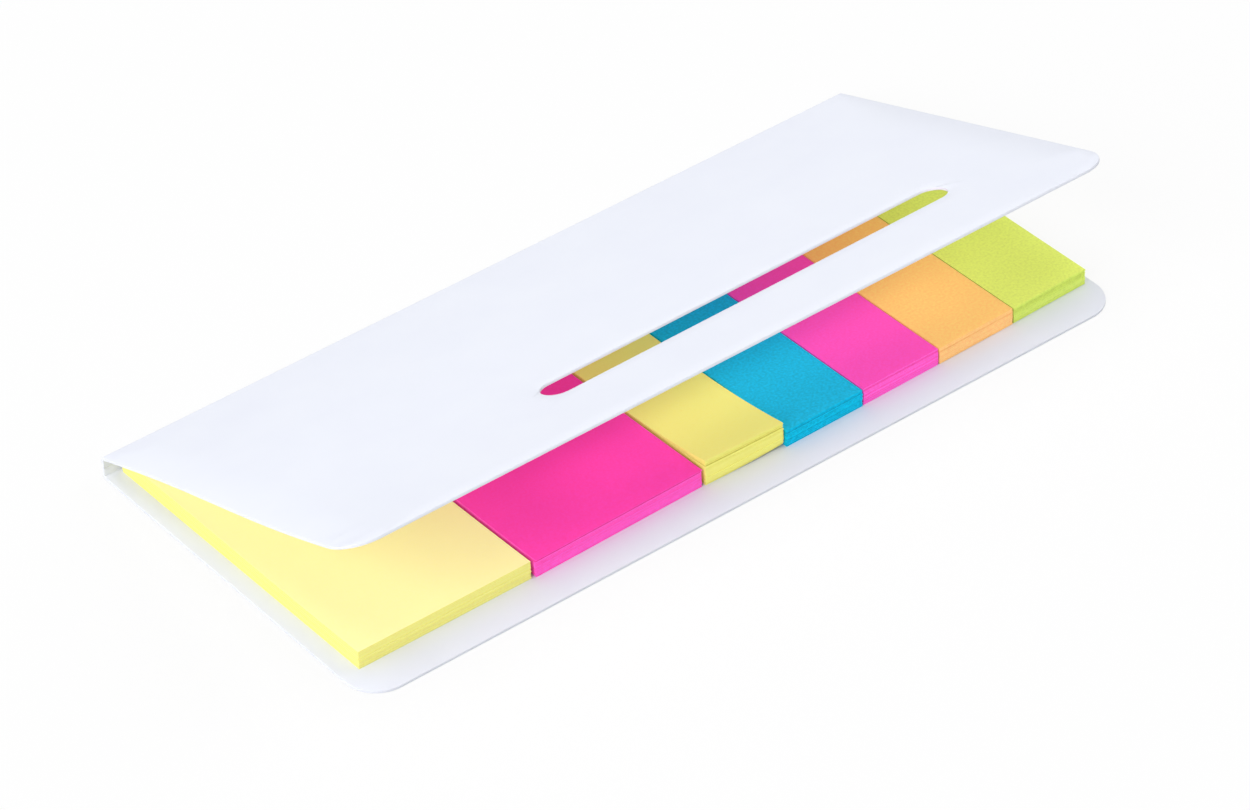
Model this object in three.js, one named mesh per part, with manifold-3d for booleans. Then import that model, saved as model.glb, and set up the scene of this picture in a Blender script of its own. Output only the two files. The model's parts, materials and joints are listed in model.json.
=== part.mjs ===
// Sticky notes: seven pads of gummed paper in a folder creased from one sheet of card.
// Millimetres, +Z up. The back cover lies on the table with its free edge towards -Y,
// the spine wall stands at +Y, and X runs along the folder. The origin is on the table,
// in the middle of the folder's outline.
import * as THREE from 'three';
import { mergeVertices } from 'three/addons/utils/BufferGeometryUtils.js';
import Module from 'manifold-3d';

const wasm = await Module();
wasm.setup();

// The card folder
const cardThickness = 0.4;
const coverCornerRadius = 4.5;
const coverOverhang = 1;
const coverOpenAngle = 19.3;
const coverWave = 0.3;
const coverSag = 0.25;
const creaseClearance = 0.3;

// The slot window in the front cover
const slotLength = 61.5;
const slotWidth = 4.5;
const slotFromFreeEdge = 14.2;
const slotFromMiddle = 11;

// The pads
const noteDepth = 45;
const largeNoteWidth = 24.7;
const flagWidth = 12;
const wideCut = 0.4;
const narrowCut = 0.35;
const sheetCount = 25;
const sheetThickness = 0.09;
const rowTurn = 0.3;
const largePadGap = 0.43;
const flagGap = 0.14;

// The room that the folder leaves around the pads
const leftMargin = 2.28;
const rightMargin = 1.15;
const frontMargin = 5.2;
const spineChannel = 2.45;
const padHeadroom = 0.15;

// How finely the curves are cut
const arcSteps = 10;
const waveSteps = 20;
const curlSteps = 10;
const slitSteps = 3;
const weldDistance = 1e-5;

// The finishes
const cardColor = 0xf4f6fb;
const cardRoughness = 0.75;
const paperRoughness = 0.85;

// Each pad: paper colour, width, the gap before it, how far its front edge stands back
// from the row's line, how skew its front was cut, how far its sheets have sprung apart
// at the front, how high its underside lifts off the card at its front right corner, and
// the slits that show between groups of sheets.
// A slit's level is a share of the stack's height, and the group above it reaches
// forward of the one below by its step.
const pads = [
  {
    name: 'large_yellow_pad', color: 0xf9f08c, width: largeNoteWidth, gapBefore: 0,
    setBack: 0, skew: -0.45, spring: 0.25, springRun: 20, cornerLift: 0,
    slits: [{ level: 0.94, mouth: 0.03, depth: 2, step: 0.04 }],
  },
  {
    name: 'large_pink_pad', color: 0xff4fb0, width: largeNoteWidth + wideCut,
    gapBefore: largePadGap, setBack: -0.05, skew: 0.65, spring: 0.28, springRun: 20,
    cornerLift: 0,
    slits: [{ level: 0.9, mouth: 0.1, depth: 3.5, step: -0.06 }],
  },
  {
    name: 'yellow_flags', color: 0xece377, width: flagWidth - narrowCut,
    gapBefore: largePadGap, setBack: -0.1, skew: -2, spring: 1.4, springRun: 17,
    cornerLift: 0.5,
    slits: [
      { level: 0.06, mouth: 0.08, depth: 4, step: -0.08 },
      { level: 0.78, mouth: 0.1, depth: 6, step: 0.1 },
      { level: 0.9, mouth: 0.08, depth: 4, step: -0.05 },
    ],
  },
  {
    name: 'blue_flags', color: 0x1fa9d2, width: flagWidth, gapBefore: flagGap,
    setBack: -0.55, skew: 0.2, spring: 0.12, springRun: 16, cornerLift: 0,
    slits: [
      { level: 0.4, mouth: 0.03, depth: 2, step: -0.04 },
      { level: 0.82, mouth: 0.06, depth: 3, step: 0.06 },
    ],
  },
  {
    name: 'pink_flags', color: 0xfc5fb4, width: flagWidth, gapBefore: flagGap,
    setBack: -0.4, skew: 0.35, spring: 0.14, springRun: 16, cornerLift: 0,
    slits: [{ level: 0.88, mouth: 0.07, depth: 2.5, step: 0.05 }],
  },
  {
    name: 'orange_flags', color: 0xffb368, width: flagWidth, gapBefore: flagGap,
    setBack: -0.25, skew: 0.6, spring: 0.06, springRun: 16, cornerLift: 0,
    slits: [{ level: 0.7, mouth: 0.03, depth: 1.5, step: 0.03 }],
  },
  {
    name: 'green_flags', color: 0xcfe468, width: flagWidth, gapBefore: flagGap,
    setBack: 0, skew: 1, spring: 0.04, springRun: 16, cornerLift: 0,
    slits: [{ level: 0.85, mouth: 0.07, depth: 2.5, step: -0.04 }],
  },
];

// Sizes that follow from the ones above
const padHeight = sheetCount * sheetThickness;
const rowLength = pads.reduce((length, pad) => length + pad.gapBefore + pad.width, 0);
const folderLength = leftMargin + rowLength + rightMargin;
const backDepth = frontMargin + noteDepth + spineChannel + cardThickness;
const frontDepth = backDepth + coverOverhang;
const spineHeight = cardThickness + padHeight + padHeadroom + cardThickness;
const creaseRadius = cardThickness / 2;
const creaseY = backDepth / 2 - creaseRadius;
const upperCreaseZ = spineHeight - creaseRadius;
const wallStart = creaseRadius + creaseClearance;
const frontReach = frontDepth - creaseRadius;

// A section drawn in Y and Z becomes a solid as long as its width, centred on X.
const sectionToPart = new THREE.Matrix4().makeBasis(
  new THREE.Vector3(0, 1, 0),
  new THREE.Vector3(0, 0, 1),
  new THREE.Vector3(1, 0, 0),
);

function sweepSection(shape, width, steps) {
  const solid = new THREE.ExtrudeGeometry(shape, {
    depth: width, steps, bevelEnabled: false, curveSegments: arcSteps,
  });
  solid.translate(0, 0, -width / 2);
  return solid.applyMatrix4(sectionToPart);
}

// Moves every corner of a geometry by a function of its place.
function bend(geometry, move) {
  const place = geometry.attributes.position;
  const point = new THREE.Vector3();
  for (let i = 0; i < place.count; i += 1) {
    point.fromBufferAttribute(place, i);
    move(point);
    place.setXYZ(i, point.x, point.y, point.z);
  }
  geometry.computeVertexNormals();
  return geometry;
}

function toManifold(geometry) {
  const bare = geometry.clone();
  bare.deleteAttribute('normal');
  bare.deleteAttribute('uv');
  const merged = mergeVertices(bare, weldDistance);
  return new wasm.Manifold(new wasm.Mesh({
    numProp: 3,
    vertProperties: new Float32Array(merged.attributes.position.array),
    triVerts: new Uint32Array(merged.index.array),
  }));
}

function toGeometry(solid) {
  const mesh = solid.getMesh();
  const geometry = new THREE.BufferGeometry();
  geometry.setAttribute('position', new THREE.BufferAttribute(mesh.vertProperties, 3));
  geometry.setIndex(new THREE.BufferAttribute(mesh.triVerts, 1));
  geometry.computeVertexNormals();
  return geometry;
}

function paint(name, geometry, color, roughness) {
  const material = new THREE.MeshStandardMaterial({ color, roughness, metalness: 0 });
  const mesh = new THREE.Mesh(geometry, material);
  mesh.name = name;
  return mesh;
}

// A cover's cut outline in X and Y: square at the crease, round at the free edge.
function coverOutline(creaseEdge, freeEdge) {
  const half = folderLength / 2;
  const r = coverCornerRadius;
  const outline = new THREE.Shape();
  outline.moveTo(half, creaseEdge);
  outline.lineTo(-half, creaseEdge);
  outline.lineTo(-half, freeEdge + r);
  outline.absarc(-half + r, freeEdge + r, r, Math.PI, 1.5 * Math.PI, false);
  outline.lineTo(half - r, freeEdge);
  outline.absarc(half - r, freeEdge + r, r, 1.5 * Math.PI, 2 * Math.PI, false);
  outline.closePath();
  return outline;
}

// A slot with round ends, its middle at (x, y).
function slotOutline(x, y) {
  const r = slotWidth / 2;
  const reach = slotLength / 2 - r;
  const slot = new THREE.Path();
  slot.absarc(x + reach, y, r, -0.5 * Math.PI, 0.5 * Math.PI, false);
  slot.absarc(x - reach, y, r, 0.5 * Math.PI, 1.5 * Math.PI, false);
  slot.closePath();
  return slot;
}

function cutSheet(outline, bottom, height) {
  const solid = new THREE.ExtrudeGeometry(outline, {
    depth: height, bevelEnabled: false, curveSegments: arcSteps,
  });
  return solid.translate(0, 0, bottom);
}

// The back cover is flat, and stops short of the lower crease.
function makeBackCover() {
  const outline = coverOutline(creaseY - wallStart, -backDepth / 2);
  return cutSheet(outline, 0, cardThickness);
}

// The spine wall's section is a strip with a round bead at each crease.
function makeSpineWall() {
  const section = new THREE.Shape();
  section.absarc(creaseY, creaseRadius, creaseRadius, Math.PI, 2 * Math.PI, false);
  section.absarc(creaseY, upperCreaseZ, creaseRadius, 0, Math.PI, false);
  section.closePath();
  return sweepSection(section, folderLength, 1);
}

// The card's slow wave from the crease to the free edge: it bulges near the crease and
// sags near the free edge. It dies out towards +X.
function waveAt(y) {
  const turn = Math.PI * (-y - wallStart) / (frontReach - wallStart);
  return coverWave * Math.sin(2 * turn) - coverSag * Math.sin(turn);
}

// The front cover lies along -Y from its crease, at Y = 0. A waved strip is cut to the
// cover's outline and slot, and then the wave is taken out towards +X.
function makeFrontCover() {
  const inside = [];
  const outside = [];
  for (let i = 0; i <= waveSteps; i += 1) {
    const y = -wallStart - (frontReach - wallStart) * i / waveSteps;
    inside.push(new THREE.Vector2(y, waveAt(y) - creaseRadius));
    outside.unshift(new THREE.Vector2(y, waveAt(y) + creaseRadius));
  }
  const strip = new THREE.Shape([...inside, ...outside]);
  const cutDepth = cardThickness + 2 * coverWave;
  const outline = coverOutline(cutDepth, -frontReach);
  outline.holes.push(slotOutline(slotFromMiddle, slotFromFreeEdge - frontReach));
  const sheet = toManifold(sweepSection(strip, folderLength + cutDepth, 1));
  const cutter = toManifold(cutSheet(outline, -cutDepth, 2 * cutDepth));
  return bend(toGeometry(sheet.intersect(cutter)), (point) => {
    point.z -= waveAt(point.y) * (point.x / folderLength + 0.5);
  });
}

// How far a pad's top has sprung up, at a distance behind its front edge.
function sprungHeight(pad, behind) {
  const share = Math.max(0, 1 - behind / pad.springRun);
  return padHeight + pad.spring * share * share;
}

// A pad's section: the gummed back edge at Y = 0, the loose front edge at -noteDepth.
// Sheets above and below a slit follow the curl, and each group has its own front line.
function padSection(pad) {
  const section = new THREE.Shape();
  const levelPoint = (behind, level, rise) => {
    section.lineTo(behind - noteDepth, level * sprungHeight(pad, behind) + rise);
  };
  section.moveTo(0, 0);
  let front = 0;
  section.lineTo(-noteDepth, 0);
  for (const slit of pad.slits) {
    levelPoint(front, slit.level, -slit.mouth / 2);
    for (let i = 1; i <= slitSteps; i += 1) {
      const rise = -0.5 * slit.mouth * (1 - i / slitSteps);
      levelPoint(slit.depth * i / slitSteps, slit.level, rise);
    }
    front -= slit.step;
    for (let i = slitSteps - 1; i >= 1; i -= 1) {
      const rise = 0.5 * slit.mouth * (1 - i / slitSteps);
      levelPoint(slit.depth * i / slitSteps, slit.level, rise);
    }
    levelPoint(front, slit.level, slit.mouth / 2);
  }
  for (let i = 0; i <= curlSteps; i += 1) {
    levelPoint(front + (pad.springRun - front) * i / curlSteps, 1, 0);
  }
  section.lineTo(0, padHeight);
  section.closePath();
  return section;
}

// The underside lifts towards the front right corner, and the top stays where it is.
function makePad(pad) {
  const solid = sweepSection(padSection(pad), pad.width, pad.cornerLift > 0 ? curlSteps : 1);
  return bend(solid, (point) => {
    const behind = point.y + noteDepth;
    const forward = Math.max(0, 1 - behind / pad.springRun);
    const across = point.x / pad.width + 0.5;
    const level = point.z / sprungHeight(pad, behind);
    point.z += pad.cornerLift * (across * forward) ** 2 * (1 - level);
    point.y += point.x * Math.tan(THREE.MathUtils.degToRad(pad.skew));
  });
}

const folder = new THREE.Group();
folder.add(paint('back_cover', makeBackCover(), cardColor, cardRoughness));
folder.add(paint('spine_wall', makeSpineWall(), cardColor, cardRoughness));

const cover = new THREE.Group();
cover.position.set(0, creaseY, upperCreaseZ);
cover.rotation.x = -THREE.MathUtils.degToRad(coverOpenAngle);
cover.add(paint('front_cover', makeFrontCover(), cardColor, cardRoughness));
folder.add(cover);

// The pads stand side by side on the back cover, gummed edge towards the spine, and the
// whole row is turned a little on it.
let left = leftMargin - folderLength / 2;
for (const pad of pads) {
  left += pad.gapBefore;
  const mesh = paint(pad.name, makePad(pad), pad.color, paperRoughness);
  mesh.geometry.translate(0, noteDepth / 2, 0);
  mesh.rotation.z = THREE.MathUtils.degToRad(rowTurn);
  mesh.position.set(
    left + pad.width / 2,
    frontMargin + pad.setBack + noteDepth / 2 - backDepth / 2,
    cardThickness,
  );
  folder.add(mesh);
  left += pad.width;
}

export default folder;
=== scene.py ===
# %% [markdown]
# # Sticky notes in a card folder
# The folder is one sheet of white card with two creases. Seven pads of gummed note paper
# stand side by side on its back cover, and its front cover is ajar. The solids of the
# model give the places and the main sizes, and this lesson dresses them: the card as one
# thin folded sheet, and each pad as its own loose-edged sheets.

# %% Start from the model
import json
import random
from math import cos, pi, radians, sin, tan

import bmesh
import bpy
from mathutils import Matrix, Vector


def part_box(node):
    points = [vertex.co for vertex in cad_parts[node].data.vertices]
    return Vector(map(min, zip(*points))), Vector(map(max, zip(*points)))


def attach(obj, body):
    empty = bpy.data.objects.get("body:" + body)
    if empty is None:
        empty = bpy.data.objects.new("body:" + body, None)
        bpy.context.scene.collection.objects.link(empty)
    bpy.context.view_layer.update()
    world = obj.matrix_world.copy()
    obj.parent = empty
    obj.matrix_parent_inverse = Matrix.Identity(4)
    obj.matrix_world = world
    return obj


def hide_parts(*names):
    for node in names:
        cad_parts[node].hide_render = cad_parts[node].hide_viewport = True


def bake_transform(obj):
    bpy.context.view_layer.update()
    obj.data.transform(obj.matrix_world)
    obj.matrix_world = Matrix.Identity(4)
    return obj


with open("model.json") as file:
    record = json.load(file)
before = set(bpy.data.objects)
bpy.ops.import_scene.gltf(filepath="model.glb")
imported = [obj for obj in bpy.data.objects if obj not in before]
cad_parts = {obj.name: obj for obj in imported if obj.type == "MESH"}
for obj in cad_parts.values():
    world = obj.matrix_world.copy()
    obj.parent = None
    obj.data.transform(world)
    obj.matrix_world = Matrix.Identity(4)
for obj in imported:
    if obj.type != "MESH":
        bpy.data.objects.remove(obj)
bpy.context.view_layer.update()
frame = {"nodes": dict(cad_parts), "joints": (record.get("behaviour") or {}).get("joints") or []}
MM = 0.001
print("nodes:", sorted(frame["nodes"]))

# %% [markdown]
# ## The sizes of the card
# The model already says most of what is needed. The back cover's box gives the length,
# the thickness and the free edge, and the two joints say where the creases are, and so
# how high the spine stands. Reading them from the model means that nothing is fitted by
# eye.

# %% Sizes read from the model
back_low, back_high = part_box("back_cover")
crease_at = {joint["name"]: Vector(joint["pos_m"]) for joint in frame["joints"]}
lower_crease = crease_at["lower_crease"]
upper_crease = crease_at["upper_crease"]

half_length = back_high[0]
card = back_high[2] - back_low[2]
back_reach = lower_crease.y - back_low[1]
spine_rise = upper_crease.z - lower_crease.z
print(f"card {card / MM:.2f} mm thick, spine {spine_rise / MM:.2f} mm between creases")

# %% [markdown]
# ## The shape of the front cover
# The front cover leaves its crease at a shallow angle. Its left end has a slow wave, as
# thin card has when it was pressed in a stack: it bulges near the crease and sags near
# the free edge, and the wave dies out towards the right end.

# %% Shape of the front cover
OPEN_ANGLE = radians(19.3)
WAVE = 0.3 * MM
SAG = 0.25 * MM
WAVE_START = 0.5 * MM
FRONT_REACH = 53.85 * MM
CORNER_RADIUS = 4.5 * MM
SLOT_LENGTH = 61.5 * MM
SLOT_WIDTH = 4.5 * MM
SLOT_FROM_FREE_EDGE = 14.2 * MM
SLOT_FROM_MIDDLE = 11 * MM


def wave_height(x, reach):
    """How far the front cover stands off its plane, at a reach from its crease."""
    turn = pi * max(0.0, (reach - WAVE_START) / (FRONT_REACH - WAVE_START))
    fade = 0.5 - 0.5 * x / half_length
    return (WAVE * sin(2 * turn) - SAG * sin(turn)) * fade


# %% [markdown]
# ## Folding a flat sheet
# A card folder is cut flat and then creased, so it is modelled in that order. A crease
# is a small arc, and the card between the arcs is straight. A point's distance along
# the sheet picks the straight or the arc that it lies on. The sheet's middle layer
# keeps its length, and the two faces follow at half the card's thickness.

# %% Folding along a path of straights and arcs
CREASE_BEND = 0.32 * MM


def fold_point(distance, height, legs):
    """Place (y, z) of a point at a distance along the folded sheet and a height off it.

    legs is a list of (start, direction, length, turn) with the turn in radians that
    the sheet makes over that leg, 0 on a straight one. A positive turn is to the left.
    """
    for start, direction, length, turn in legs:
        if distance <= length or (start, direction, length, turn) == legs[-1]:
            break
        distance -= length
    side = Vector((-direction.y, direction.x))
    if turn == 0:
        return start + direction * distance + side * height
    radius = length / turn
    angle = distance / radius
    centre = start + side * radius
    return centre + Matrix.Rotation(angle, 2) @ (start - centre + side * height)


def crease_legs(corner, arrive, leave, before, after):
    """The legs of a sheet that comes to a corner, bends there and goes on."""
    turn = arrive.angle_signed(leave) * -1
    arc = CREASE_BEND * abs(turn)
    cut = CREASE_BEND * abs(tan(turn / 2))
    return [
        (corner - arrive * before, arrive, before - cut, 0),
        (corner - arrive * cut, arrive, arc, turn),
        (corner + leave * cut, leave, after - cut, 0),
    ], before - cut, arc


# %% [markdown]
# ## Cutting the card
# The blank starts as one rectangle. Bevelling two corner points of it with a round
# profile cuts the die's round corners, and a second rectangle with all four points
# bevelled is the slot. Filling between the two outlines leaves the hole open. Plane
# cuts then give the sheet the lines that it needs to bend along, and an extrusion gives
# it its thickness.

# %% Drawing outlines with round corners
ROUND_SEGMENTS = 12


def add_rectangle(bm, x_low, x_high, y_low, y_high):
    """A flat face, and its corner points that lie at the low Y side first."""
    made = bmesh.ops.create_grid(bm, x_segments=1, y_segments=1, size=0.5)["verts"]
    size = Vector((x_high - x_low, y_high - y_low, 1))
    middle = Vector(((x_low + x_high) / 2, (y_low + y_high) / 2, 0))
    bmesh.ops.scale(bm, verts=made, vec=size)
    bmesh.ops.translate(bm, verts=made, vec=middle)
    return sorted(made, key=lambda vert: vert.co.y)


def round_corners(bm, corners, radius):
    bmesh.ops.bevel(
        bm, geom=corners, offset=radius, segments=ROUND_SEGMENTS, profile=0.5,
        affect="VERTICES", material=-1,
    )


# %% Cutting a blank with lines to bend along
LINE_STEP = 6 * MM
SAME_PLACE = 1e-7
ALMOST_HALF = 0.4995


def cut_along(bm, axis, places):
    """Adds a line of points across the sheet at each place along the axis."""
    normal = Vector((1, 0, 0)) if axis == 0 else Vector((0, 1, 0))
    for place in places:
        bmesh.ops.bisect_plane(
            bm, geom=bm.verts[:] + bm.edges[:] + bm.faces[:], dist=SAME_PLACE,
            plane_co=normal * place, plane_no=normal,
        )


def even_places(low, high, step):
    count = max(1, round((high - low) / step))
    return [low + (high - low) * i / count for i in range(1, count)]


def blank(free_edge, far_edge, y_lines, with_slot):
    """The flat sheet, its rounded free edge at the low Y side."""
    bm = bmesh.new()
    corners = add_rectangle(bm, -half_length, half_length, free_edge, far_edge)
    round_corners(bm, corners[:2], CORNER_RADIUS)
    if with_slot:
        middle = free_edge + SLOT_FROM_FREE_EDGE
        corners = add_rectangle(
            bm, SLOT_FROM_MIDDLE - SLOT_LENGTH / 2, SLOT_FROM_MIDDLE + SLOT_LENGTH / 2,
            middle - SLOT_WIDTH / 2, middle + SLOT_WIDTH / 2,
        )
        round_corners(bm, corners, SLOT_WIDTH * ALMOST_HALF)
        bmesh.ops.delete(bm, geom=bm.faces[:], context="FACES_ONLY")
        bmesh.ops.triangle_fill(bm, edges=bm.edges[:], use_beauty=True)
    cut_along(bm, 1, y_lines)
    cut_along(bm, 0, even_places(-half_length, half_length, LINE_STEP))
    return bm


# %% [markdown]
# ## Soft cut edges
# A die presses card as it cuts it, so the edge isn't sharp. The rim of the blank is
# bevelled a little on both faces. Only the rim is bevelled: the edges where a side face
# meets a flat face.

# %% Giving the blank its thickness
EDGE_SOFTNESS = 0.07 * MM
RIM_ANGLE = radians(60)
LEVEL = 1e-9


def thicken(bm, softness):
    grown = bmesh.ops.extrude_face_region(bm, geom=bm.faces[:], use_keep_orig=True)["geom"]
    raised = [part for part in grown if isinstance(part, bmesh.types.BMVert)]
    bmesh.ops.translate(bm, verts=raised, vec=Vector((0, 0, card)))
    bmesh.ops.translate(bm, verts=bm.verts[:], vec=Vector((0, 0, -card / 2)))
    bmesh.ops.recalc_face_normals(bm, faces=bm.faces[:])
    # Only the edges between a side face and a flat face are level and sharp.
    rim = [
        edge for edge in bm.edges
        if edge.is_manifold and edge.calc_face_angle() > RIM_ANGLE
        and abs(edge.verts[0].co.z - edge.verts[1].co.z) < LEVEL
    ]
    bmesh.ops.bevel(
        bm, geom=rim, offset=softness, segments=2, profile=0.5,
        affect="EDGES", material=-1,
    )


# %% Finishing a piece's mesh
SMOOTH_UP_TO = radians(35)


def finish_mesh(bm, name):
    """Makes the object of a finished mesh, smooth but for its sharper edges."""
    mesh = bpy.data.meshes.new(name)
    bmesh.ops.recalc_face_normals(bm, faces=bm.faces[:])
    for edge in bm.edges:
        sharp = edge.is_manifold and edge.calc_face_angle() > SMOOTH_UP_TO
        edge.smooth = not sharp
    for face in bm.faces:
        face.smooth = True
    bm.to_mesh(mesh)
    bm.free()
    piece = bpy.data.objects.new(name, mesh)
    bpy.context.scene.collection.objects.link(piece)
    print(f"{name}: {len(mesh.polygons)} faces")
    return piece


# %% [markdown]
# ## The back half of the folder
# The card is shown as two pieces that meet halfway up the spine wall, where no line
# shows, because each of them bends over one crease. The back half runs from the back
# cover's free edge, over the lower crease, to the middle of the spine.

# %% Back half
along_back = Vector((1, 0))
up_spine = Vector((0, 1))
to_free_edge = Vector((-cos(OPEN_ANGLE), sin(OPEN_ANGLE)))
half_spine = spine_rise / 2
BEND_STEPS = 8

legs, bend_start, bend_length = crease_legs(
    Vector((lower_crease.y, lower_crease.z)), along_back, up_spine, back_reach, half_spine)
sheet_end = sum(length for start, direction, length, turn in legs)
bend_lines = [bend_start + bend_length * i / BEND_STEPS for i in range(BEND_STEPS + 1)]
lines = even_places(0, bend_start, LINE_STEP) + bend_lines
bm = blank(0, sheet_end, lines, with_slot=False)
thicken(bm, EDGE_SOFTNESS)
for vert in bm.verts:
    place = fold_point(vert.co.y, vert.co.z, legs)
    vert.co = Vector((vert.co.x, place.x, place.y))
back_half = finish_mesh(bm, "folder_back_half")

# %% [markdown]
# ## The front half of the folder
# The front half starts at the middle of the spine and bends over the upper crease into
# the front cover. Here the slot is cut, and the slow wave is added before the fold. The
# free edge has the low Y, so the sheet is read from its far end.

# %% Front half
WAVE_STEP = 2.5 * MM

legs, bend_start, bend_length = crease_legs(
    Vector((upper_crease.y, upper_crease.z)), up_spine, to_free_edge, half_spine, FRONT_REACH)
sheet_end = sum(length for start, direction, length, turn in legs)
bend_lines = [sheet_end - bend_start - bend_length * i / BEND_STEPS for i in range(BEND_STEPS + 1)]
lines = even_places(0, sheet_end - bend_start - bend_length, WAVE_STEP) + bend_lines
bm = blank(0, sheet_end, lines, with_slot=True)
thicken(bm, EDGE_SOFTNESS)
for vert in bm.verts:
    height = vert.co.z - wave_height(vert.co.x, FRONT_REACH - vert.co.y)
    place = fold_point(sheet_end - vert.co.y, height, legs)
    vert.co = Vector((vert.co.x, place.x, place.y))
front_half = finish_mesh(bm, "folder_front_half")

# %% [markdown]
# ## The pads
# A pad is about twenty-five sheets. From a step away its side is a pale band with faint
# lines, which no flat wall gives, so each sheet is a thin slab of its own. Every sheet
# starts as a grid, is thickened, and is then shifted by a hair. At the loose front end
# the sheets spring apart in groups, by the same curve as the solid's. Their gummed ends
# reach a little nearer to the spine than the plain solids do.

# %% How each pad lies and springs
SHEETS = 25
NOTE_DEPTH = 45 * MM
GUMMED_END = 1.9 * MM
PAD_HEIGHT = 2.25 * MM
PAPER_GAP = 0.012 * MM
ROW_TURN = radians(0.3)
LOOSE = 0.05 * MM
SHEET_FACE, CUT_EDGE = 0, 1

# skew turns the front edge, in degrees. spring, run and lift are in millimetres: how far
# the top springs up, how far behind the front edge that starts, and how far the bottom
# sheet's front right corner lifts. A slit is (level in the pad, mouth, depth, how far
# the sheets over it are set back).
PADS = {
    "large_yellow_pad": dict(skew=-0.45, spring=0.25, run=20, lift=0,
                             slits=[(0.94, 0.04, 2, 0.04)], slot="yellow_paper"),
    # The large pink pad takes a deeper pink, painted shade of the cover over its top.
    "large_pink_pad": dict(skew=0.65, spring=0.28, run=20, lift=0,
                           slits=[(0.9, 0.16, 3.5, -0.06)], slot="pink_paper",
                           paper="pink_paper_painted_shade"),
    "yellow_flags": dict(skew=-2, spring=1.4, run=17, lift=0.5, slot="yellow_paper",
                         slits=[(0.06, 0.1, 4, -0.08), (0.78, 0.16, 6, 0.1), (0.9, 0.12, 4, -0.05)],
                         paper="deep_yellow_paper"),
    "blue_flags": dict(skew=0.2, spring=0.12, run=16, lift=0, slot="blue_paper",
                       slits=[(0.4, 0.05, 2, -0.04), (0.82, 0.1, 3, 0.06)]),
    "pink_flags": dict(skew=0.35, spring=0.14, run=16, lift=0,
                       slits=[(0.88, 0.11, 2.5, 0.05)], slot="pink_paper"),
    "orange_flags": dict(skew=0.6, spring=0.06, run=16, lift=0,
                         slits=[(0.7, 0.05, 1.5, 0.03)], slot="orange_paper"),
    "green_flags": dict(skew=1, spring=0.04, run=16, lift=0,
                        slits=[(0.85, 0.11, 2.5, -0.04)], slot="green_paper"),
}

# %% The curve of the sprung sheets
def nearness(behind, reach):
    """1 at the front edge, falling to 0 at a reach behind it, in millimetres."""
    return max(0.0, 1 - behind / (reach * MM))


def sheet_height(level, sheet, behind, pad):
    """Height over the card of a level of the stack, on a sheet, behind the front edge."""
    share = nearness(behind, pad["run"])
    height = level * (PAD_HEIGHT + pad["spring"] * MM * share * share)
    for slit_level, mouth, depth, step in pad["slits"]:
        wedge = nearness(behind, depth) * mouth * MM / 2
        if sheet > slit_level:
            height += wedge * (1 - level) / (1 - slit_level)
        else:
            height -= wedge * level / slit_level
    return height


def corner_lift(level, across, behind, pad):
    """How far the lower sheets lift towards the front right corner."""
    forward = nearness(behind, pad["run"])
    return pad["lift"] * MM * (across * forward) ** 2 * (1 - level)


def group_step(sheet, behind, pad):
    """How far back the front edge of a sheet lies that is over one or more slits."""
    setback = sum(step for slit_level, mouth, depth, step in pad["slits"] if sheet > slit_level)
    return setback * MM * nearness(behind, pad["run"])


# %% Making and laying one sheet
STEPS_ACROSS, STEPS_ALONG = 4, 24
PAD_DEPTH = NOTE_DEPTH + GUMMED_END


def new_sheet(bm, size):
    """A flat slab without height: the points of its underside and of its top."""
    faces_before = len(bm.faces)
    under = bmesh.ops.create_grid(
        bm, x_segments=STEPS_ACROSS, y_segments=STEPS_ALONG, size=0.5)["verts"]
    bm.faces.ensure_lookup_table()
    faces = bm.faces[faces_before:]
    bmesh.ops.scale(bm, verts=under, vec=size)
    grown = bmesh.ops.extrude_face_region(bm, geom=faces, use_keep_orig=True)["geom"]
    bmesh.ops.reverse_faces(bm, faces=faces)
    return under, [part for part in grown if isinstance(part, bmesh.types.BMVert)]


def lay_points(verts, number, is_top, width, pad):
    """Gives the points of one face of a sheet their height, skew and group step."""
    sheet = (number + 0.5) / SHEETS
    level = (number + is_top) / SHEETS
    for vert in verts:
        behind = vert.co.y + PAD_DEPTH / 2
        across = vert.co.x / width + 0.5
        height = sheet_height(level, sheet, behind, pad) - is_top * PAPER_GAP
        vert.co.z = height + corner_lift(level, across, behind, pad)
        skewed = vert.co.x * tan(radians(pad["skew"]))
        vert.co.y += GUMMED_END / 2 + skewed + group_step(sheet, behind, pad)


# %% Building a pad from its sheets
SIDE_FACE = 0.5


def build_pad(name, pad, random_source):
    low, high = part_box(name)
    width = (high[0] - low[0] - NOTE_DEPTH * sin(ROW_TURN)) / cos(ROW_TURN)
    middle = Vector(((low[0] + high[0]) / 2, (low[1] + high[1]) / 2, low[2]))
    sheet_size = Vector((width - 2 * LOOSE, PAD_DEPTH - 2 * LOOSE, 1))
    bm = bmesh.new()
    for number in range(SHEETS):
        under, top = new_sheet(bm, sheet_size)
        shift_x, shift_y = (random_source.uniform(-LOOSE, LOOSE) for axis in "xy")
        lay_points(under, number, 0, width, pad)
        lay_points(top, number, 1, width, pad)
        bmesh.ops.translate(bm, verts=under + top, vec=Vector((shift_x, shift_y, 0)))
    bm.normal_update()
    for face in bm.faces:
        face.material_index = CUT_EDGE if abs(face.normal.z) < SIDE_FACE else SHEET_FACE
    bmesh.ops.transform(bm, matrix=Matrix.Rotation(ROW_TURN, 4, "Z"), verts=bm.verts[:])
    bmesh.ops.translate(bm, verts=bm.verts[:], vec=middle)
    return finish_mesh(bm, name + "_sheets")


# %% The seven pads
random_source = random.Random(7)
pad_pieces = {name: build_pad(name, pad, random_source) for name, pad in PADS.items()}

# %% [markdown]
# ## The finish of the card
# The card is smooth, matt and white with a trace of blue. It still isn't one flat
# colour: the pulp clouds a little, and the surface has a fine tooth that only shows
# where light grazes it.

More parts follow.
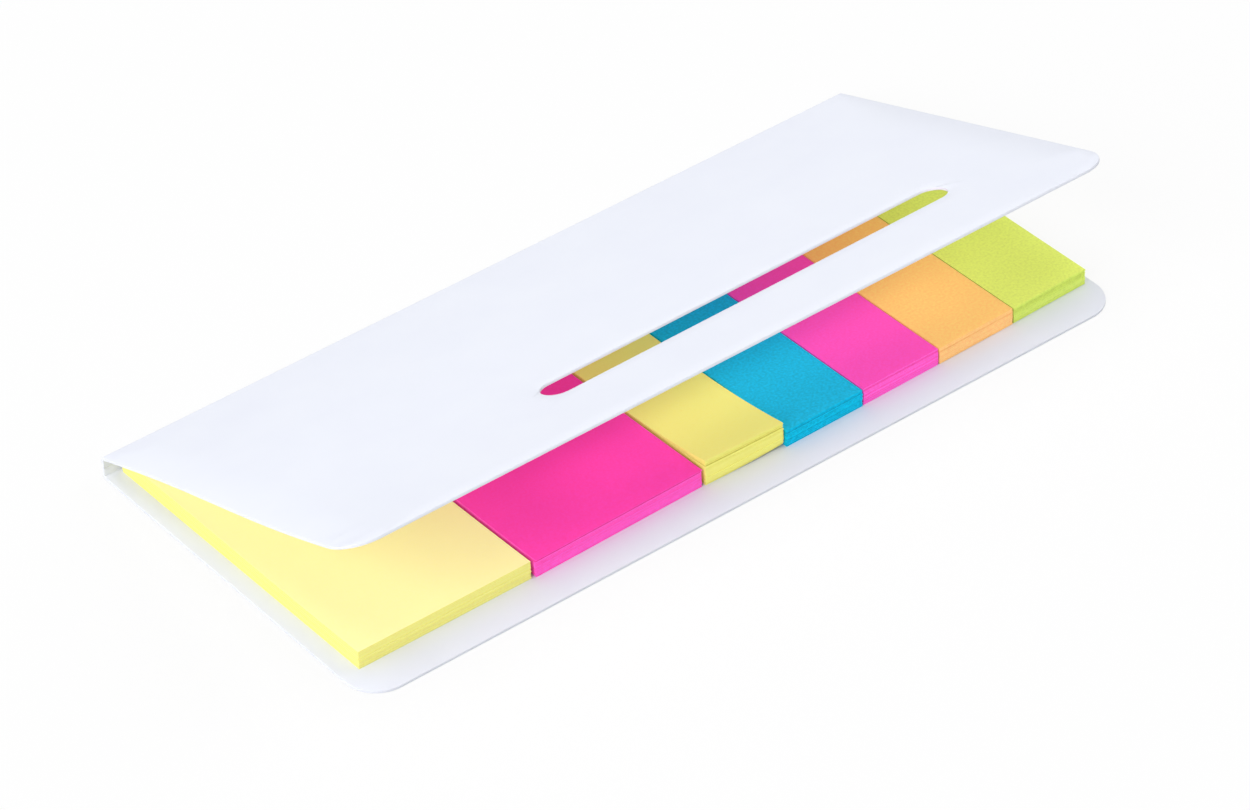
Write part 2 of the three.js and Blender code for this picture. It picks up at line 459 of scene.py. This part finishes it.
# %% Nodes that the finishes share
BUMP_HEIGHT = 0.01 * MM
BUMP_STRENGTH = 0.5


def new_material(name):
    material = bpy.data.materials.new(name)
    material.use_nodes = True
    nodes = material.node_tree.nodes
    return material, nodes, material.node_tree.links, nodes["Principled BSDF"]


def noise(nodes, links, place, scale, detail):
    texture = nodes.new("ShaderNodeTexNoise")
    texture.inputs["Scale"].default_value = scale
    texture.inputs["Detail"].default_value = detail
    links.new(place, texture.inputs["Vector"])
    return texture.outputs["Fac"]


def ramp(nodes, links, value, stops):
    node = nodes.new("ShaderNodeValToRGB")
    node.color_ramp.elements[0].position, node.color_ramp.elements[0].color = stops[0]
    node.color_ramp.elements[1].position, node.color_ramp.elements[1].color = stops[1]
    links.new(value, node.inputs["Fac"])
    return node.outputs["Color"]


def shade(red, green, blue):
    """A screen colour, 0 to 255, as the linear colour that a shader takes."""
    def linear(value):
        value /= 255
        return value / 12.92 if value <= 0.04045 else ((value + 0.055) / 1.055) ** 2.4
    return (linear(red), linear(green), linear(blue), 1)


def bump(nodes, links, height, shader):
    node = nodes.new("ShaderNodeBump")
    node.inputs["Distance"].default_value = BUMP_HEIGHT
    node.inputs["Strength"].default_value = BUMP_STRENGTH
    links.new(height, node.inputs["Height"])
    links.new(node.outputs["Normal"], shader.inputs["Normal"])


# %% White card
PULP_CLOUDS, CARD_TOOTH = 120, 2600
CARD_DARK, CARD_LIGHT = shade(229, 232, 242), shade(231, 234, 243)


def card_material():
    material, nodes, links, shader = new_material("white_card_finish")
    place = nodes.new("ShaderNodeTexCoord").outputs["Object"]
    cloud = noise(nodes, links, place, PULP_CLOUDS, 3)
    colour = ramp(nodes, links, cloud, [(0.3, CARD_DARK), (0.7, CARD_LIGHT)])
    links.new(colour, shader.inputs["Base Color"])
    shader.inputs["Roughness"].default_value = 0.72
    shader.inputs["Specular IOR Level"].default_value = 0.35
    tooth = noise(nodes, links, place, CARD_TOOTH, 2)
    bump(nodes, links, tooth, shader)
    return material


white_card = card_material()
for piece in (back_half, front_half):
    piece.data.materials.append(white_card)

# %% [markdown]
# ## The finish of the note papers
# Note paper is dyed pulp: bright, quite matt, and mottled where the fibres lie thicker.
# Two noises at different scales give the cloud and the fibre, and a small bump follows
# the fibre. The papers differ only in colour and grain, so they share one function.
# Their dyes turn unseen light into seen light, so real paper looks brighter than a plain
# surface can be. Here a painted glow of the paper's own colour stands for that, though
# the paper is no lamp. The painted glow is dimmed near neighbours, which paints shade in
# the gaps and slits. A stack's cut edges get a finish of their own. Its tint mixes
# their own shade with painted light and shade for how light falls on the side faces.

# %% Note papers
# Painted glow on the sheet faces, and a stronger painted glow on the cut edges. Near neighbours it
# is dimmed to painted shade, and it is full where 0.6 of the surroundings is open.
FACE_PAINTED_GLOW = 0.3
EDGE_PAINTED_GLOW = 0.4
PAINTED_SHADE_REACH = 1.5 * MM
PAINTED_GLOW_FULL_FROM = 0.6
PAPER_CLOUDS, PAPER_FIBRES = 3000, 5000

# Tint of the faces, tint of the cut edges (their own shade with painted light and shade in it),
# strength of the mottling.
PAPERS = {
    "yellow_paper": (shade(248, 239, 168), shade(226, 223, 127), 0.08),
    "deep_yellow_paper": (shade(239, 234, 128), shade(233, 229, 126), 0.1),
    "pink_paper": (shade(253, 82, 188), shade(255, 104, 210), 0.16),
    # Deeper pink: the pink paper with painted shade of the cover in it.
    "pink_paper_painted_shade": (shade(253, 68, 174), shade(255, 100, 206), 0.16),
    "blue_paper": (shade(28, 188, 226), shade(4, 196, 232), 0.24),
    "orange_paper": (shade(252, 199, 115), shade(254, 203, 136), 0.16),
    "green_paper": (shade(217, 231, 108), shade(210, 230, 114), 0.14),
}


def painted_glow(nodes, links, shader, painted_glow_strength):
    """Painted glow of the paper's colour, dimmed to painted shade where neighbours are near."""
    gap_shade = nodes.new("ShaderNodeAmbientOcclusion")
    gap_shade.samples = 8
    gap_shade.inputs["Distance"].default_value = PAINTED_SHADE_REACH
    glow = nodes.new("ShaderNodeMapRange")
    glow.inputs["From Max"].default_value = PAINTED_GLOW_FULL_FROM
    glow.inputs["To Max"].default_value = painted_glow_strength
    links.new(gap_shade.outputs["AO"], glow.inputs["Value"])
    links.new(glow.outputs["Result"], shader.inputs["Emission Strength"])


def paper_material(name, tint, contrast, painted_glow_strength):
    material, nodes, links, shader = new_material(name)
    place = nodes.new("ShaderNodeTexCoord").outputs["Object"]
    cloud = noise(nodes, links, place, PAPER_CLOUDS, 4)
    darker = [channel * (1 - contrast) for channel in tint[:3]] + [1]
    colour = ramp(nodes, links, cloud, [(0.3, darker), (0.7, tint)])
    links.new(colour, shader.inputs["Base Color"])
    links.new(colour, shader.inputs["Emission Color"])
    painted_glow(nodes, links, shader, painted_glow_strength)
    shader.inputs["Roughness"].default_value = 0.9
    shader.inputs["Specular IOR Level"].default_value = 0.2
    fibre = noise(nodes, links, place, PAPER_FIBRES, 2)
    bump(nodes, links, fibre, shader)
    return material


papers = {}
# The cut-edge finish holds painted light and shade for the side faces, and a stronger painted glow.
for name, (face_tint, edge_tint_with_painted_light, contrast) in PAPERS.items():
    papers[name] = [paper_material(name + "_finish", face_tint, contrast, FACE_PAINTED_GLOW),
                    paper_material(name + "_cut_edge_painted_light", edge_tint_with_painted_light, contrast, EDGE_PAINTED_GLOW)]
for name, piece in pad_pieces.items():
    for material in papers[PADS[name].get("paper", PADS[name]["slot"])]:
        piece.data.materials.append(material)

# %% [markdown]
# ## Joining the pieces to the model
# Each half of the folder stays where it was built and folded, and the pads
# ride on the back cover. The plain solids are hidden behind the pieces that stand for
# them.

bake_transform(back_half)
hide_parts("back_cover")

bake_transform(front_half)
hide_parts("front_cover", "spine_wall")

for name, piece in pad_pieces.items():
    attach(piece, "back")
    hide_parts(name)

# %% [markdown]
# ## The floor
# The folder lies on a white sweep. The floor is plain and pale, and to the camera it
# adds a little white of its own, so that the background is white without more light on
# the object. The object's soft shadow still shows on it.

# %% Floor
FLOOR_HALF_WIDTH = 3.0
FLOOR_DROP = 0.02 * MM
FLOOR_GREY = 0.8
FLOOR_GLOW = 0.88


def make_floor():
    bm = bmesh.new()
    made = bmesh.ops.create_grid(bm, x_segments=1, y_segments=1, size=FLOOR_HALF_WIDTH)["verts"]
    bmesh.ops.translate(bm, verts=made, vec=Vector((0, 0, -FLOOR_DROP)))
    floor = finish_mesh(bm, "floor")
    material, nodes, links, shader = new_material("floor_white")
    shader.inputs["Base Color"].default_value = (FLOOR_GREY, FLOOR_GREY, FLOOR_GREY, 1)
    shader.inputs["Roughness"].default_value = 0.9
    glow = nodes.new("ShaderNodeEmission")
    glow.inputs["Color"].default_value = (1, 1, 1, 1)
    path = nodes.new("ShaderNodeLightPath")
    share = nodes.new("ShaderNodeMath")
    share.operation = "MULTIPLY"
    share.inputs[1].default_value = FLOOR_GLOW
    links.new(path.outputs["Is Camera Ray"], share.inputs[0])
    mix = nodes.new("ShaderNodeMixShader")
    links.new(share.outputs[0], mix.inputs["Fac"])
    links.new(shader.outputs[0], mix.inputs[1])
    links.new(glow.outputs[0], mix.inputs[2])
    links.new(mix.outputs[0], nodes["Material Output"].inputs["Surface"])
    floor.data.materials.append(material)


make_floor()

# %% [markdown]
# ## Light
# The picture has the even light of a product table: a large soft lamp above, a low one
# from the left that reaches under the cover, a weaker one from the right, and a pale
# world that fills the rest. Nothing lights the folder from its front, so the card in
# front of the pads and the sheets' front edges are a little darker than the cover.

# %% Lamps
def area_lamp(name, place, size, power):
    """A square lamp that faces the folder."""
    lamp = bpy.data.lights.new(name, "AREA")
    lamp.shape = "SQUARE"
    lamp.size = size
    lamp.energy = power
    holder = bpy.data.objects.new(name, lamp)
    holder.location = place
    aim = Vector((0, 0, 10 * MM)) - Vector(place)
    holder.rotation_euler = aim.to_track_quat("-Z", "Y").to_euler()
    bpy.context.scene.collection.objects.link(holder)


area_lamp("left_softbox", (-1.9, -0.4, 1.1), 1.4, 34.4)
area_lamp("top_softbox", (-0.1, 0.3, 2.3), 1.8, 26.4)
area_lamp("right_softbox", (1.8, -0.4, 1.3), 1.4, 14.4)

# %% World
ROOM_LIGHT = 0.32

world = bpy.data.worlds.new("pale_room")
bpy.context.scene.world = world
world.use_nodes = True
world_nodes, world_links = world.node_tree.nodes, world.node_tree.links
room = world_nodes["Background"]
room.inputs["Color"].default_value = (1, 1, 1, 1)
room.inputs["Strength"].default_value = ROOM_LIGHT
backdrop = world_nodes.new("ShaderNodeBackground")
backdrop.inputs["Color"].default_value = (1, 1, 1, 1)
backdrop.inputs["Strength"].default_value = 1.0
seen = world_nodes.new("ShaderNodeLightPath")
choose = world_nodes.new("ShaderNodeMixShader")
world_links.new(seen.outputs["Is Camera Ray"], choose.inputs["Fac"])
world_links.new(room.outputs[0], choose.inputs[1])
world_links.new(backdrop.outputs[0], choose.inputs[2])
world_links.new(choose.outputs[0], world_nodes["World Output"].inputs["Surface"])

# %% [markdown]
# ## The camera
# A long lens looks down on the folder from the front left, and is tipped a little to
# the left, as in the picture.

# %% Camera
LOOK_AT = Vector((-7.644, -10.832, 8.0)) * MM
DISTANCE = 643.98 * MM
AZIMUTH = radians(-37.384)
ELEVATION = radians(38.336)
ROLL = radians(-1.946)
LENS = 157.86


def make_camera():
    camera = bpy.data.cameras.new("camera")
    camera.lens = LENS
    camera.sensor_width = 36
    camera.sensor_fit = "HORIZONTAL"
    camera.clip_start = 0.01
    holder = bpy.data.objects.new("camera", camera)
    turn = (Matrix.Rotation(AZIMUTH, 4, "Z") @ Matrix.Rotation(pi / 2 - ELEVATION, 4, "X")
            @ Matrix.Rotation(ROLL, 4, "Z"))
    holder.matrix_world = Matrix.Translation(LOOK_AT + turn.col[2].xyz * DISTANCE) @ turn
    bpy.context.scene.collection.objects.link(holder)
    bpy.context.scene.camera = holder


make_camera()
bpy.context.scene.view_settings.view_transform = "Standard"
